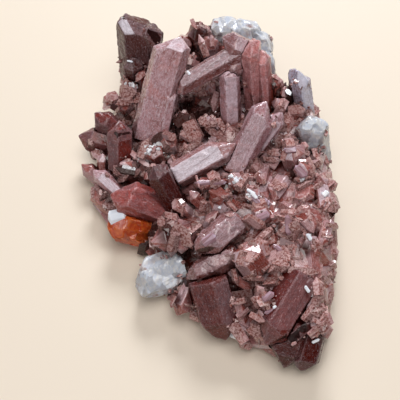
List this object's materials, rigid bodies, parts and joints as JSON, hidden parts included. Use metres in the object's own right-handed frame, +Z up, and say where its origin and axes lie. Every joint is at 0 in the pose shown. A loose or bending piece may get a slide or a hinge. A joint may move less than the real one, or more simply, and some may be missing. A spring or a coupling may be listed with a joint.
{
  "type": "hematoid quartz in matrix",
  "caption": "Mineral specimen: iron-stained quartz crystals of several habits grown together over a lump of rock with a flat underside.",
  "frame": {"origin": "on the surface that the specimen rests on, under the middle of its outline", "axes": "+Z up; +X to the right and +Y away from the display side, along the specimen's length, with the blunt end that carries the tall crystals at +Y"},
  "size_m": [0.0882, 0.1248, 0.042],
  "materials": {
    "crust": "rough iron-stained rock covered with a crust of very small quartz crystals",
    "coated": "quartz with a purple-brown hematite coat, satin",
    "lavender": "quartz with a thin lavender-brown hematite coat, glossy on the faces",
    "maroon": "quartz dark red with hematite, satin",
    "red": "red-brown iron-stained quartz, glossy",
    "amber": "clear orange-brown quartz, polished natural faces",
    "clear": "clear to milky colourless quartz"
  },
  "bodies": {
    "root": {"matrix": "crust", "pillar_crystals": "lavender", "tall_crystals": "maroon", "arch_crystals": "coated", "pink_crystal": "lavender", "slanting_crystals": "lavender", "lustrous_crystal": "lavender", "knob_crystals": "coated", "spire_crystals": "lavender", "milky_crystal": "clear", "rim_crystals": "clear", "red_crystal": "red", "dark_crystal": "maroon", "lilac_crystal": "lavender", "amber_crystal": "amber", "clear_chunk": "clear", "left_crystals": "red", "front_crystal": "maroon", "maroon_crystal": "maroon", "toe_crystals": "coated", "flat_crystal": "coated", "long_crystal": "coated"}
  },
  "joints": []
}
